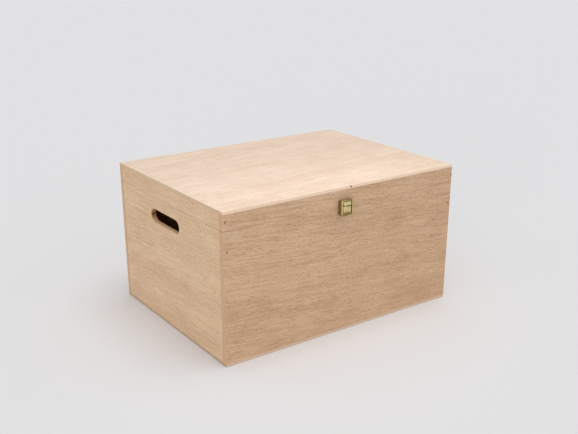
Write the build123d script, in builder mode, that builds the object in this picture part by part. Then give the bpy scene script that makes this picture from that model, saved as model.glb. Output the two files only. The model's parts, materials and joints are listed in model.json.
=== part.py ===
from build123d import *

import os

# Plywood toy box with a hinged lid, a hand hole in each end and a brass snap hasp, in millimetres.
# The origin is the middle of the underside and +Z is up. The hasp is on the -Y side, the hinges are on +Y.

# Box, glued up closed and then sawn all round to free the lid
box_width = 400.0
box_depth = 297.0
box_height = 215.0
lid_height = 26.5
wall_thickness = 8.0
lid_panel_thickness = 4.0
bottom_panel_thickness = 4.0
edge_radius = 0.8
saw_chamfer = 0.25

# Hand holes: the middle of a hole is below the sawn rim of its end wall and a little towards the back
hand_hole_length = 82.0
hand_hole_height = 19.4
hand_hole_drop = 27.9
hand_hole_shift = 8.3
hand_hole_chamfer = 0.8

# Brads of flat wire with a T head, set a little below the face of the wood
brad_width = 1.3
brad_thickness = 1.2
brad_head_width = 2.2
brad_head_height = 0.8
brad_set = 0.5
brad_point = 2.0
brad_clearance = 0.02
corner_brad_length = 25.0
lid_brad_length = 18.0
bottom_brad_length = 22.0

# Places of the brads: in from the ends of the front, below the top of the lid or the rim of the walls
lid_brad_inset_left = 4.0
lid_brad_inset_right = 2.8
lid_brad_drop_left = 13.8
lid_brad_drop_right = 15.5
wall_brad_inset_left = 5.5
wall_brad_inset_right = 4.0
wall_brad_drop_left = 27.6
wall_brad_drop_right = 32.5
panel_brad_spacing = 150.0
panel_brad_shift = 4.75

# Butt hinges on the back
hinge_spacing = 240.0
hinge_length = 32.0
hinge_leaf_width = 13.0
hinge_sheet = 1.0
hinge_corner_radius = 2.0
hinge_knuckle_diameter = 4.4
hinge_mid_knuckle = 12.0
hinge_pin_diameter = 2.0
hinge_pin_end = 0.4
hinge_gap = 0.3

# Hinge screws
screw_diameter = 2.2
screw_head_diameter = 4.2
screw_head_depth = 1.0
screw_point = 1.5
screw_cover = 1.5
screw_spacing = 20.0
screw_line = 8.5
screw_clearance = 0.02

# Clearances of the pins: tight in the knuckle or pad that holds the pin, running in the other
pin_hold_clearance = 0.01
pin_running_clearance = 0.05

# Snap hasp: a pressed frame that pivots on the lid's plate and closes over the box's plate
hasp_offset = -7.0
hasp_width = 20.5
hasp_height = 22.0
hasp_rise = 10.25
hasp_depth = 8.0
hasp_side = 1.0
hasp_face = 1.1
hasp_bevel = 0.5
hasp_corner_radius = 2.0
hasp_top_wall = 0.9
hasp_pivot_radius = 3.95
hasp_window_width = 16.2
hasp_top_bar = 2.3
hasp_bottom_bar = 3.2
hasp_lip = 1.3
hasp_window_bevel = 0.3

# Plates under the hasp, with a raised pad each that shows in the window, and a slit between the pads
latch_sheet = 0.6
latch_gap = 0.3
latch_plate_width = 17.9
latch_lid_plate_height = 6.25
latch_box_plate_height = 10.4
latch_pad_width = 14.4
latch_pad_shift = 0.35
latch_pad_taper = 1.0
pad_slit_rise = 1.3
pad_slit = 0.7
lid_pad_height = 6.0
lid_pad_depth = 7.4
box_pad_height = 9.2
box_pad_depth = 7.2
knuckle_back_wall = 1.0
hasp_pin_diameter = 1.2
hasp_pin_end = 0.3

# Nails of the plates
nail_diameter = 0.7
nail_head_diameter = 1.1
nail_head_height = 0.5
nail_point = 1.0
nail_cover = 2.0
nail_spacing = 16.7
lid_nail_rise = 3.0
box_nail_drop = 4.5
nail_clearance = 0.02

# Flat sides of the small screws and nails
fastener_sides = 8

# Derived places
saw_z = box_height - lid_height
front_y = -box_depth / 2
back_y = box_depth / 2
end_wall_length = box_depth - 2 * wall_thickness
end_wall_x = (box_width - wall_thickness) / 2
long_wall_y = (box_depth - wall_thickness) / 2
hinge_axis_y = back_y + hinge_gap + hinge_knuckle_diameter / 2
hinge_notch = hinge_knuckle_diameter / 2 + hinge_gap
hasp_back = latch_sheet + latch_gap
hasp_bottom = hasp_rise - hasp_height
hasp_inside = hasp_depth - hasp_face
hasp_lip_back = hasp_depth - hasp_lip
pivot_depth = hasp_back + hasp_pivot_radius
pivot_rise = hasp_rise - hasp_pivot_radius
window_bottom = hasp_bottom + hasp_bottom_bar
window_top = hasp_rise - hasp_top_bar
hasp_under_top = hasp_rise - hasp_top_wall
box_pad_top = pad_slit_rise - pad_slit / 2
lid_pad_low = pad_slit_rise + pad_slit / 2
knuckle_low = pivot_rise - hasp_pin_diameter / 2
knuckle_back = pivot_depth - hasp_pin_diameter / 2 - knuckle_back_wall

# Turns that point a fastener, drawn head up along -Z, into a face
INTO_FRONT = (90, 0, 0)
INTO_BACK = (-90, 0, 0)
INTO_TOP = (0, 0, 0)
INTO_BOTTOM = (180, 0, 0)

# Planes on the front at the hasp: one seen from the side (X is out of the wood), one seen from the front
hasp_side_plane = Plane(origin=(hasp_offset, front_y, saw_z), x_dir=(0, -1, 0), z_dir=(-1, 0, 0))
hasp_front_plane = Plane(origin=(hasp_offset, front_y, saw_z), x_dir=(1, 0, 0), z_dir=(0, -1, 0))

os.makedirs("parts", exist_ok=True)


def finish(piece, name):
    """Label a finished piece and write it to its own file."""
    piece.part.label = name
    export_step(piece.part, f"parts/{name}.step")


def faceted(stations):
    """A flat-sided solid along Z through polygons of a radius and a height; two at one height make a step."""
    with BuildPart() as solid:
        for (radius, height), (next_radius, next_height) in zip(stations, stations[1:]):
            if height != next_height:
                with BuildSketch(Plane.XY.offset(height)):
                    RegularPolygon(radius, fastener_sides)
                with BuildSketch(Plane.XY.offset(next_height)):
                    RegularPolygon(next_radius, fastener_sides)
                loft(ruled=True)
    return solid


def group(fastener, places):
    """One fastener copied to each of its places."""
    with BuildPart() as fasteners:
        with Locations(*places):
            add(fastener.part)
    return fasteners


def brad_shape(length, top, clearance):
    """A T-headed brad along -Z with a chisel point, or its hole when a clearance is given."""
    head = brad_head_width / 2 + clearance
    shank = brad_width / 2 + clearance
    shoulder = -brad_set - brad_head_height - clearance
    point = brad_point - length
    with BuildPart() as shape:
        with BuildSketch(Plane.YZ):
            with BuildLine():
                Polyline(
                    (-head, top), (head, top), (head, shoulder), (shank, shoulder),
                    (shank, point), (0, -length - clearance), (-shank, point),
                    (-shank, shoulder), (-head, shoulder), close=True,
                )
            make_face()
        extrude(amount=brad_thickness / 2 + clearance, both=True)
    return shape


def brad(length):
    """A brad with its head set below the face."""
    return brad_shape(length, -brad_set, 0)


def brad_socket(length):
    """The hole that a brad leaves, open at the face."""
    return brad_shape(length, brad_set, brad_clearance)


def screw(clearance):
    """A countersunk wood screw, flush with the leaf, or its hole when a clearance is given."""
    head = screw_head_diameter / 2 + clearance
    shank = screw_diameter / 2 + clearance
    length = hinge_sheet + wall_thickness - screw_cover
    return faceted([
        (head, 0), (shank, -screw_head_depth),
        (shank, screw_point - length), (shank / 4, -length - clearance),
    ])


def nail(clearance):
    """A nail with its head on the plate, or its hole when a clearance is given."""
    head = nail_head_diameter / 2
    shank = nail_diameter / 2 + clearance
    length = latch_sheet + wall_thickness - nail_cover
    return faceted([
        (head, nail_head_height), (head, 0),
        (shank, 0), (shank, nail_point - length), (shank / 4, -length - clearance),
    ])


def corner_places(left, right):
    """Brads through the front and the back into the end walls, each end's given as its inset and height."""
    places = []
    for side, (inset, height) in ((-1, left), (1, right)):
        x = side * (box_width / 2 - inset)
        places.append(Location((x, front_y, height), INTO_FRONT))
        places.append(Location((x, back_y, height), INTO_BACK))
    return places


def panel_places(height, turn):
    """Brads through a panel into the edges of the walls."""
    places = []
    for side in (-1, 1):
        for step in (-1, 0, 1):
            x = panel_brad_shift + step * panel_brad_spacing
            places.append(Location((x, side * long_wall_y, height), turn))
        places.append(Location((side * end_wall_x, panel_brad_shift, height), turn))
    return places


def hinge_screw_places(direction):
    """Screws of both hinges in the lid's leaves (direction 1) or the box's leaves (direction -1)."""
    places = []
    for hinge_side in (-1, 1):
        for screw_side in (-1, 1):
            x = hinge_side * hinge_spacing / 2 + screw_side * screw_spacing / 2
            z = saw_z + direction * screw_line
            places.append(Location((x, back_y + hinge_sheet, z), INTO_BACK))
    return places


def nail_places(height):
    """The two nails of a latch plate."""
    y = front_y - latch_sheet
    return [
        Location((hasp_offset + side * nail_spacing / 2, y, saw_z + height), INTO_FRONT)
        for side in (-1, 1)
    ]


def cut(socket, places):
    """Take a fastener's hole out of the piece being built, at each of its places."""
    with Locations(*places):
        add(socket.part, mode=Mode.SUBTRACT)


def long_wall(side, low, high):
    """A wall over the whole width, at the front (side -1) or the back (side 1), sawn at the saw line."""
    with BuildPart() as wall:
        with BuildSketch(Plane.XY.offset(low)):
            with Locations((0, side * long_wall_y)):
                Rectangle(box_width, wall_thickness)
        extrude(amount=high - low)
        outer = wall.edges().filter_by(Axis.Z).sort_by(Axis.Y, reverse=side > 0)[:2]
        fillet(outer, edge_radius)
        sawn_face = wall.faces().filter_by(Axis.Z).sort_by(lambda face: abs(face.center().Z - saw_z))[0]
        chamfer(sawn_face.edges().sort_by(Axis.Y, reverse=side > 0)[:-1], saw_chamfer)
    return wall


def end_wall(side, low, high):
    """A wall between the front and the back, at the left (side -1) or the right (side 1)."""
    with BuildPart() as wall:
        with BuildSketch(Plane.XY.offset(low)):
            with Locations((side * end_wall_x, 0)):
                Rectangle(wall_thickness, end_wall_length)
        extrude(amount=high - low)
        sawn_face = wall.faces().filter_by(Axis.Z).sort_by(lambda face: abs(face.center().Z - saw_z))[0]
        chamfer(sawn_face.edges().sort_by(Axis.X, reverse=side > 0)[0], saw_chamfer)
    return wall


def panel(low, thickness, outward):
    """A panel over the whole footprint, rounded on its outward side (1 for up, -1 for down)."""
    with BuildPart() as sheet:
        with BuildSketch(Plane.XY.offset(low)):
            Rectangle(box_width, box_depth)
        extrude(amount=thickness)
        fillet(sheet.edges().filter_by(Axis.Z), edge_radius)
        fillet(sheet.faces().sort_by(Axis.Z, reverse=outward > 0)[0].edges(), edge_radius)
    return sheet


def with_holes(piece, holes):
    """A piece with the holes of its fasteners taken out."""
    with BuildPart() as drilled:
        add(piece.part)
        for socket, places in holes:
            cut(socket, places)
    return drilled


def with_hand_hole(wall, side):
    """An end wall with its hand hole, eased on both faces."""
    with BuildPart() as holed:
        add(wall.part)
        with BuildSketch(Plane.YZ.offset(side * box_width / 2)):
            with Locations((hand_hole_shift, saw_z - hand_hole_drop)):
                SlotOverall(hand_hole_length, hand_hole_height)
        extrude(amount=-side * wall_thickness, mode=Mode.SUBTRACT)
        mouths = [wire for face in holed.faces().filter_by(Axis.X) for wire in face.inner_wires()]
        chamfer([edge for wire in mouths for edge in wire.edges()], hand_hole_chamfer)
    return holed


def hinge_leaf(hinge_x, direction, knuckles, bore):
    """A leaf of a butt hinge, up onto the lid (direction 1) or down onto the box (direction -1)."""
    leaf_plane = Plane(origin=(hinge_x, back_y, saw_z), x_dir=(-direction, 0, 0), z_dir=(0, 1, 0))
    with BuildPart() as leaf:
        with BuildSketch(leaf_plane):
            with Locations((0, (hinge_notch + hinge_leaf_width) / 2)):
                Rectangle(hinge_length, hinge_leaf_width - hinge_notch)
            for start, end in knuckles:
                with Locations(((start + end) / 2, hinge_notch / 2)):
                    Rectangle(end - start, hinge_notch)
        extrude(amount=hinge_sheet)
        far_corners = leaf.edges().filter_by(Axis.Y).sort_by(Axis.Z, reverse=direction > 0)[:2]
        fillet(far_corners, hinge_corner_radius)
        for start, end in knuckles:
            with BuildSketch(Plane.YZ.offset(hinge_x + start)):
                with Locations((hinge_axis_y, saw_z)):
                    Circle(hinge_knuckle_diameter / 2)
            extrude(amount=end - start)
        with BuildSketch(Plane.YZ.offset(hinge_x)):
            with Locations((hinge_axis_y, saw_z)):
                Circle(bore)
        extrude(amount=hinge_length, both=True, mode=Mode.SUBTRACT)
        cut(screw(screw_clearance), hinge_screw_places(direction))
    return leaf


def pin(centre, diameter, length, end_chamfer):
    """A hinge pin along X with chamfered ends."""
    with BuildPart() as rod:
        with BuildSketch(Plane(origin=centre, x_dir=(0, 1, 0), z_dir=(1, 0, 0))):
            Circle(diameter / 2)
        extrude(amount=length / 2, both=True)
        chamfer(rod.edges().filter_by(GeomType.CIRCLE), end_chamfer)
    return rod


def latch_plate(low, height, pad_low, pad_height, pad_depth):
    """A plate of the hasp: a sheet on the wood with a raised pad."""
    with BuildPart() as plate:
        with BuildSketch(hasp_front_plane):
            with Locations((0, low + height / 2)):
                Rectangle(latch_plate_width, height)
        extrude(amount=latch_sheet)
        with BuildSketch(hasp_front_plane.offset(latch_sheet)):
            with Locations((latch_pad_shift, pad_low + pad_height / 2)):
                Rectangle(latch_pad_width, pad_height)
        extrude(amount=pad_depth - latch_sheet, taper=latch_pad_taper)
    return plate


# Brads, screws and nails with their places
corner_brad_places = corner_places(
    (wall_brad_inset_left, saw_z - wall_brad_drop_left), (wall_brad_inset_right, saw_z - wall_brad_drop_right)
)
lid_corner_brad_places = corner_places(
    (lid_brad_inset_left, box_height - lid_brad_drop_left),
    (lid_brad_inset_right, box_height - lid_brad_drop_right),
)
lid_top_brad_places = panel_places(box_height, INTO_TOP)
bottom_brad_places = panel_places(0, INTO_BOTTOM)

corner_holes = (brad_socket(corner_brad_length), corner_brad_places)
lid_corner_holes = (brad_socket(corner_brad_length), lid_corner_brad_places)
lid_top_holes = (brad_socket(lid_brad_length), lid_top_brad_places)
bottom_holes = (brad_socket(bottom_brad_length), bottom_brad_places)
box_screw_holes = (screw(screw_clearance), hinge_screw_places(-1))
lid_screw_holes = (screw(screw_clearance), hinge_screw_places(1))
box_nail_holes = (nail(nail_clearance), nail_places(-box_nail_drop))
lid_nail_holes = (nail(nail_clearance), nail_places(lid_nail_rise))

finish(group(brad(corner_brad_length), corner_brad_places), "corner_brads")
finish(group(brad(corner_brad_length), lid_corner_brad_places), "lid_corner_brads")
finish(group(brad(lid_brad_length), lid_top_brad_places), "lid_top_brads")
finish(group(brad(bottom_brad_length), bottom_brad_places), "bottom_brads")
finish(group(screw(0), hinge_screw_places(-1)), "hinge_box_screws")
finish(group(screw(0), hinge_screw_places(1)), "hinge_lid_screws")
finish(group(nail(0), nail_places(-box_nail_drop)), "latch_box_nails")
finish(group(nail(0), nail_places(lid_nail_rise)), "latch_lid_nails")

# Walls of the box and rims of the lid
wall_low = bottom_panel_thickness
rim_high = box_height - lid_panel_thickness

box_front = with_holes(long_wall(-1, wall_low, saw_z), [corner_holes, bottom_holes, box_nail_holes])
finish(box_front, "box_front")
box_back = with_holes(long_wall(1, wall_low, saw_z), [corner_holes, bottom_holes, box_screw_holes])
finish(box_back, "box_back")
lid_rim_holes = [lid_corner_holes, lid_top_holes]
lid_front_rim = with_holes(long_wall(-1, saw_z, rim_high), [*lid_rim_holes, lid_nail_holes])
finish(lid_front_rim, "lid_front_rim")
lid_back_rim = with_holes(long_wall(1, saw_z, rim_high), [*lid_rim_holes, lid_screw_holes])
finish(lid_back_rim, "lid_back_rim")

for side, name in ((-1, "left"), (1, "right")):
    box_end = with_hand_hole(end_wall(side, wall_low, saw_z), side)
    finish(with_holes(box_end, [corner_holes, bottom_holes]), f"box_{name}_end")
    lid_end = end_wall(side, saw_z, rim_high)
    finish(with_holes(lid_end, lid_rim_holes), f"lid_{name}_rim")

# Panels
lid_top = with_holes(panel(rim_high, lid_panel_thickness, 1), [lid_top_holes])
finish(lid_top, "lid_top")
box_bottom = with_holes(panel(0, bottom_panel_thickness, -1), [bottom_holes])
finish(box_bottom, "box_bottom")

# Hinges: the box's leaf has the two outer knuckles and holds the pin, the lid's leaf turns on it
half_length = hinge_length / 2
half_mid = hinge_mid_knuckle / 2
outer_knuckles = [(-half_length, -half_mid - hinge_gap), (half_mid + hinge_gap, half_length)]
mid_knuckle = [(-half_mid, half_mid)]
hinge_pin_radius = hinge_pin_diameter / 2
for side, name in ((-1, "left"), (1, "right")):
    hinge_x = side * hinge_spacing / 2
    box_leaf = hinge_leaf(hinge_x, -1, outer_knuckles, hinge_pin_radius + pin_hold_clearance)
    finish(box_leaf, f"hinge_{name}_box_leaf")
    lid_leaf = hinge_leaf(hinge_x, 1, mid_knuckle, hinge_pin_radius + pin_running_clearance)
    finish(lid_leaf, f"hinge_{name}_lid_leaf")
    pin_length = hinge_length + 2 * hinge_pin_end
    hinge_pin = pin((hinge_x, hinge_axis_y, saw_z), hinge_pin_diameter, pin_length, hinge_pin_end)
    finish(hinge_pin, f"hinge_{name}_pin")

# Plate on the box: the top of its pad reaches up in front of the lid's rim, clear of it
plate_low = -latch_gap - latch_box_plate_height
pad_low = box_pad_top - box_pad_height
box_plate = latch_plate(plate_low, latch_box_plate_height, pad_low, box_pad_height, box_pad_depth)
finish(with_holes(box_plate, [box_nail_holes]), "latch_box_plate")

# Plate on the lid: its pad holds the hasp's pin, and behind the pin it makes room for the hasp's top
lid_plate = latch_plate(lid_pad_low, latch_lid_plate_height, lid_pad_low, lid_pad_height, lid_pad_depth)
with BuildPart() as latch_lid_plate:
    add(lid_plate.part)
    with BuildSketch(hasp_side_plane):
        with Locations(((latch_sheet + knuckle_back) / 2, (knuckle_low + hasp_rise) / 2)):
            Rectangle(knuckle_back - latch_sheet, hasp_rise - knuckle_low)
        with Locations((pivot_depth, pivot_rise)):
            Circle(hasp_pin_diameter / 2 + pin_hold_clearance)
    extrude(amount=latch_plate_width, both=True, mode=Mode.SUBTRACT)
    cut(nail(nail_clearance), nail_places(lid_nail_rise))
finish(latch_lid_plate, "latch_lid_plate")

# Hasp: a pressed frame, rounded behind its pivot and open at the back, with a window in its face
with BuildPart() as latch_hasp:
    with BuildSketch(hasp_side_plane):
        with BuildLine():
            Polyline(
                (hasp_back, pivot_rise), (hasp_back, hasp_bottom), (hasp_depth, hasp_bottom),
                (hasp_depth, hasp_rise), (pivot_depth, hasp_rise),
            )
            CenterArc((pivot_depth, pivot_rise), hasp_pivot_radius, 90, 90)
        make_face()
    extrude(amount=hasp_width / 2, both=True)
    with BuildSketch(hasp_front_plane):
        with Locations((0, hasp_rise - hasp_height / 2)):
            RectangleRounded(hasp_width, hasp_height, hasp_corner_radius)
    extrude(amount=hasp_depth, mode=Mode.INTERSECT)
    chamfer(latch_hasp.faces().sort_by(Axis.Y)[0].edges(), hasp_bevel)
    with BuildSketch(hasp_side_plane):
        with BuildLine():
            Polyline(
                (0, hasp_bottom), (hasp_lip_back, hasp_bottom), (hasp_lip_back, window_bottom),
                (hasp_inside, window_bottom), (hasp_inside, hasp_under_top), (pivot_depth, hasp_under_top),
                (pivot_depth, hasp_rise), (0, hasp_rise), close=True,
            )
        make_face()
    extrude(amount=hasp_width / 2 - hasp_side, both=True, mode=Mode.SUBTRACT)
    with BuildSketch(hasp_front_plane.offset(hasp_depth)):
        with Locations((0, (window_bottom + window_top) / 2)):
            Rectangle(hasp_window_width, window_top - window_bottom)
    extrude(amount=-hasp_face, mode=Mode.SUBTRACT)
    window_edges = latch_hasp.faces().sort_by(Axis.Y)[0].inner_wires()[0].edges()
    chamfer(window_edges, hasp_window_bevel)
    with BuildSketch(hasp_side_plane):
        with Locations((pivot_depth, pivot_rise)):
            Circle(hasp_pin_diameter / 2 + pin_running_clearance)
    extrude(amount=hasp_width, both=True, mode=Mode.SUBTRACT)
finish(latch_hasp, "latch_hasp")

pivot = (hasp_offset, front_y - pivot_depth, saw_z + pivot_rise)
finish(pin(pivot, hasp_pin_diameter, hasp_width + 2 * hasp_pin_end, hasp_pin_end), "latch_pin")
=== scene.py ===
import json
import math

import bmesh
import bpy
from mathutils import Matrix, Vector


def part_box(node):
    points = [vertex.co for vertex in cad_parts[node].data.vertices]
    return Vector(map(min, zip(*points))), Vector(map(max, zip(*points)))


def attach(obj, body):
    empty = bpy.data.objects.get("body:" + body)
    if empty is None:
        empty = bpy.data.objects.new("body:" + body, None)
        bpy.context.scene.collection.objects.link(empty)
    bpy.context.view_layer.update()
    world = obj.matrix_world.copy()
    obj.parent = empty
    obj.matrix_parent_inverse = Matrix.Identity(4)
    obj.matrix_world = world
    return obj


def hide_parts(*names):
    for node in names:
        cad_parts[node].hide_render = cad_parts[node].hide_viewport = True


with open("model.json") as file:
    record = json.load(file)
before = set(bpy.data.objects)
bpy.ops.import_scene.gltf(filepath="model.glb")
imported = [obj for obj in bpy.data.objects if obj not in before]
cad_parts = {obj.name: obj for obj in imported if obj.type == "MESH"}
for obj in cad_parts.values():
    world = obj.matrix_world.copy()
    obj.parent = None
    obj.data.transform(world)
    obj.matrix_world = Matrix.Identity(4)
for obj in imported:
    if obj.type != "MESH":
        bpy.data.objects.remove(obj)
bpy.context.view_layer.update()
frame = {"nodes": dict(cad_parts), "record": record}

bl_info = {
    "name": "Plywood toy box",
    "version": (1, 0, 0),
    "blender": (4, 5, 0),
    "location": "3D View > Sidebar > Toy Box",
    "description": "Dresses a plywood toy box with wood and brass finishes, a snap hasp, hinges and a stage",
    "category": "Object",
}

MM = 0.001
HAIR = 1e-6
IMAGE_WIDTH = 578
X, Y, Z = range(3)
WHITE = (1, 1, 1)


def srgb(red, green, blue):
    """A colour written in screen values from 0 to 255, as linear light."""
    shares = [value / 255 for value in (red, green, blue)]
    return tuple(s / 12.92 if s <= 0.04045 else ((s + 0.055) / 1.055) ** 2.4 for s in shares)


def opaque(colour):
    """A colour with full alpha, as a shader socket takes it."""
    return (*colour, 1.0)


# Property groups

def colour_property(name, description, *screen_values):
    """A colour to choose, whose default is written in screen values."""
    return bpy.props.FloatVectorProperty(
        name=name, description=description, subtype="COLOR", min=0, max=1, default=srgb(*screen_values))


def length_property(name, description, millimetres):
    """A length to choose, whose default is written in millimetres."""
    return bpy.props.FloatProperty(
        name=name, description=description, unit="LENGTH", default=millimetres * MM)


def angle_property(name, description, degrees):
    """An angle to choose, whose default is written in degrees."""
    return bpy.props.FloatProperty(
        name=name, description=description, subtype="ANGLE", default=math.radians(degrees))


class ToyBoxWood(bpy.types.PropertyGroup):
    """Colours and build of the plywood."""

    front_light: colour_property("Front light", "Pale grain of the front and the back", 228, 193, 160)
    front_dark: colour_property("Front dark", "Dark grain of the front and the back", 190, 151, 118)
    # The end walls' tones are partly their own veneer and partly painted light, made paler for the brighter
    # light on the end walls.
    end_light: colour_property("End light", "Pale grain of the end walls", 242, 212, 178)
    end_dark: colour_property("End dark", "Dark grain of the end walls", 210, 173, 138)
    panel_light: colour_property("Panel light", "Pale grain of the lid panel", 251, 229, 208)
    panel_dark: colour_property("Panel dark", "Dark grain of the lid panel", 234, 206, 182)
    # The bottom panel's tones, and its core below, are the lid panel's about a tenth darker: painted shade
    # by the floor.
    bottom_light: colour_property("Bottom light", "Pale grain of the bottom panel", 229, 207, 188)
    bottom_dark: colour_property("Bottom dark", "Dark grain of the bottom panel", 211, 184, 163)
    wall_core: colour_property("Wall core", "Inner plies of the walls", 222, 186, 152)
    # The lid panel's core tone is partly its own ply and partly painted light, made paler for light catching
    # the lid's front edge.
    panel_core: colour_property("Panel core", "Inner ply of the lid panel", 255, 228, 203)
    shaded_bottom_core: colour_property("Bottom core", "Inner ply of the bottom panel", 232, 206, 184)
    wall_end_grain: colour_property(
        "Wall end grain", "Tint of the walls where their grain is cut across", 251, 247, 241)
    # Painted light: the warm tint on the panels' cut veneers stands for warm light bounced onto their edges.
    panel_edge_bounce_light: colour_property(
        "Panel edge", "Tint of the panels' veneers where they are cut", 250, 243, 234)
    panel_end_grain: colour_property(
        "Panel end grain", "Tint of the panels where their grain is cut across", 232, 227, 215)
    sawn_hole: colour_property("Hole tint", "Tint of the sawn sides of the hand holes", 158, 134, 68)
    brad_steel: colour_property("Brad steel", "Darkened heads of the brads", 52, 34, 17)
    brad_rust: colour_property("Brad rust", "Rust on the heads of the brads", 86, 54, 28)
    brad_stain: colour_property("Brad stain", "Tint of the wood close round a brad", 178, 142, 104)
    filler: colour_property("Filler", "Wood filler over the brads of the lid", 238, 214, 192)
    # Painted shade: the void in the lid's front edge is a brown spot painted on the wood, not a hollow.
    void_shade: colour_property("Void tint", "Tint of the small void in the lid's front edge", 128, 96, 70)
    void_place: length_property("Void place", "How far right of the middle the void is", 4.75)
    void_drop: length_property("Void drop", "How far below the lid's face the void is", 1.4)
    hole_length: length_property("Hole length", "Length of a hand hole", 82)
    hole_height: length_property("Hole height", "Height of a hand hole", 19.4)
    wall_plies: bpy.props.IntProperty(name="Wall plies", description="Layers in the walls", default=5, min=3)
    panel_plies: bpy.props.IntProperty(
        name="Panel plies", description="Layers in the lid and bottom panels", default=3, min=3)


class ToyBoxBrass(bpy.types.PropertyGroup):
    """Colours and sizes of the brass fittings."""

    # The bright brass shows in patches, and on the hasp's upright bars as a painted highlight.
    frame_bright: colour_property("Hasp brass", "Worn brass of the hasp", 223, 200, 138)
    frame_dark: colour_property("Hasp tarnish", "Aged brass of the hasp", 118, 106, 46)
    pad_bright: colour_property("Pad brass", "Clean brass of the latch plates", 228, 212, 163)
    pad_dark: colour_property("Pad tarnish", "Dulled brass of the latch plates", 194, 171, 105)
    hinge_bright: colour_property("Hinge brass", "Clean brass of the hinges and screws", 214, 188, 118)
    hinge_dark: colour_property("Hinge tarnish", "Dulled brass of the hinges and screws", 150, 118, 58)
    # Painted shade: this tint darkens the brass in recesses, below the screws' head faces and under the
    # hasp's foot.
    painted_shade: colour_property("PaintedShade", "Tint of the brass in recesses and under edges", 160, 142, 84)
    window_width: length_property("Window width", "Width of the hasp's window", 16.2)
    top_bar: length_property("Top bar", "Height of the hasp above its window", 2.3)
    bottom_bar: length_property("Bottom bar", "Height of the hasp below its window", 3.2)
    side_wall: length_property("Side wall", "Thickness of the hasp's sides", 1.0)
    face_wall: length_property("Face wall", "Thickness of the hasp's face", 1.1)
    lip: length_property("Lip", "Thickness of the hasp below its window", 1.3)
    top_wall: length_property("Top wall", "Thickness of the hasp's top", 0.9)
    corner_radius: length_property("Corner radius", "Rounding of the hasp's corners", 2.0)
    rim_round: length_property("Rim round", "Rounding of the hasp's outer rim", 0.6)
    sheet: length_property("Plate sheet", "Thickness of the plates under the hasp", 0.6)
    gap: length_property("Gap", "Clearance between the box's plate and the saw line", 0.3)
    pad_width: length_property("Pad width", "Width of the raised pads", 14.0)
    pad_shift: length_property("Pad shift", "How far right of the hasp's middle the pads are", 0.55)
    lid_pad_height: length_property("Lid pad height", "Height of the lid plate's pad", 6.0)
    box_pad_height: length_property("Box pad height", "Height of the box plate's pad", 9.2)
    pad_taper: angle_property("Pad taper", "Slope of a pad's sides", 1)
    pad_round: length_property("Pad round", "Rounding of a pad's crown", 0.6)
    knuckle_wall: length_property("Knuckle wall", "Brass behind the hasp's pin", 1.0)
    screw_slot: length_property("Screw slot", "Width of the slot in a screw head", 0.7)


class ToyBoxStage(bpy.types.PropertyGroup):
    """Floor, light and camera."""

    floor_colour: colour_property("Floor", "Colour of the floor", 237, 237, 239)
    backdrop_colour: colour_property("Backdrop", "Colour behind everything", 224, 225, 227)
    ambient: bpy.props.FloatProperty(
        name="Ambient", description="Strength of the even light from all round", default=0.62, min=0)
    sky: bpy.props.FloatProperty(
        name="Sky lamp", description="Strength of the wide lamp above the box", default=0.76, min=0)
    key: bpy.props.FloatProperty(
        name="Key lamp", description="Power of the long soft lamp over the front of the lid", default=0.10,
        min=0, unit="POWER")
    fill: bpy.props.FloatProperty(
        name="Fill lamp", description="Strength of the low soft lamp before the near corner", default=0.56,
        min=0)
    camera_place: bpy.props.FloatVectorProperty(
        name="Camera place", description="Where the camera stands", subtype="TRANSLATION",
        default=(-692.8 * MM, -983.2 * MM, 530.2 * MM))
    camera_azimuth: angle_property("Azimuth", "Turn of the camera about the upright", -35.43)
    camera_elevation: angle_property("Elevation", "Tilt of the camera above the horizon", 20.67)
    focal_pixels: bpy.props.FloatProperty(
        name="Focal length", description="Focal length in pixels of the picture", default=826.9, min=1)
    centre_drop: bpy.props.FloatProperty(
        name="Centre drop", description="Pixels from the picture's middle down to the lens axis",
        default=33.0)


# Shader maths

class Value:
    """A shader socket that adds Math nodes to its tree when it is used in a sum."""

    def __init__(self, nodes, socket):
        self.nodes = nodes
        self.socket = socket

    def math(self, operation, first, second=0.0):
        """The result of a Math node on one or two values."""
        return self.nodes.node("ShaderNodeMath", {"operation": operation}, {0: first, 1: second})

    def __add__(self, other):
        return self.math("ADD", self, other)

    __radd__ = __add__

    def __sub__(self, other):
        return self.math("SUBTRACT", self, other)

    def __rsub__(self, other):
        return self.math("SUBTRACT", other, self)

    def __mul__(self, other):
        return self.math("MULTIPLY", self, other)

    __rmul__ = __mul__

    def __mod__(self, other):
        return self.math("FLOORED_MODULO", self, other)

    def __gt__(self, other):
        return self.math("GREATER_THAN", self, other)

    def __lt__(self, other):
        return self.math("LESS_THAN", self, other)

    def __abs__(self):
        return self.math("ABSOLUTE", self)

    def __floor__(self):
        return self.math("FLOOR", self)

    def largest(self, other):
        """The larger of this value and another."""
        return self.math("MAXIMUM", self, other)

    def root(self):
        """The square root of this value."""
        return self.math("SQRT", self)

    def ramp(self, low, high):
        """0 below low, 1 above high and smooth between them."""
        return self.nodes.node(
            "ShaderNodeMapRange", {"interpolation_type": "SMOOTHSTEP"},
            {"Value": self, "From Min": low, "From Max": high})


class Nodes:
    """A node tree to which nodes are added one at a time."""

    def __init__(self, tree):
        self.tree = tree

    def node(self, kind, settings=None, sockets=None, output=0):
        """Add a node, set it, fill or link its sockets, and give back one of its outputs if it has any."""
        made = self.tree.nodes.new(kind)
        for key, value in (settings or {}).items():
            setattr(made, key, value)
        for key, value in (sockets or {}).items():
            self.feed(made.inputs[key], value)
        return Value(self, made.outputs[output]) if made.outputs else None

    def feed(self, socket, value):
        """Link a value to a socket, or set the socket to a plain number or colour."""
        if isinstance(value, Value):
            self.tree.links.new(value.socket, socket)
        else:
            socket.default_value = value


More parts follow.
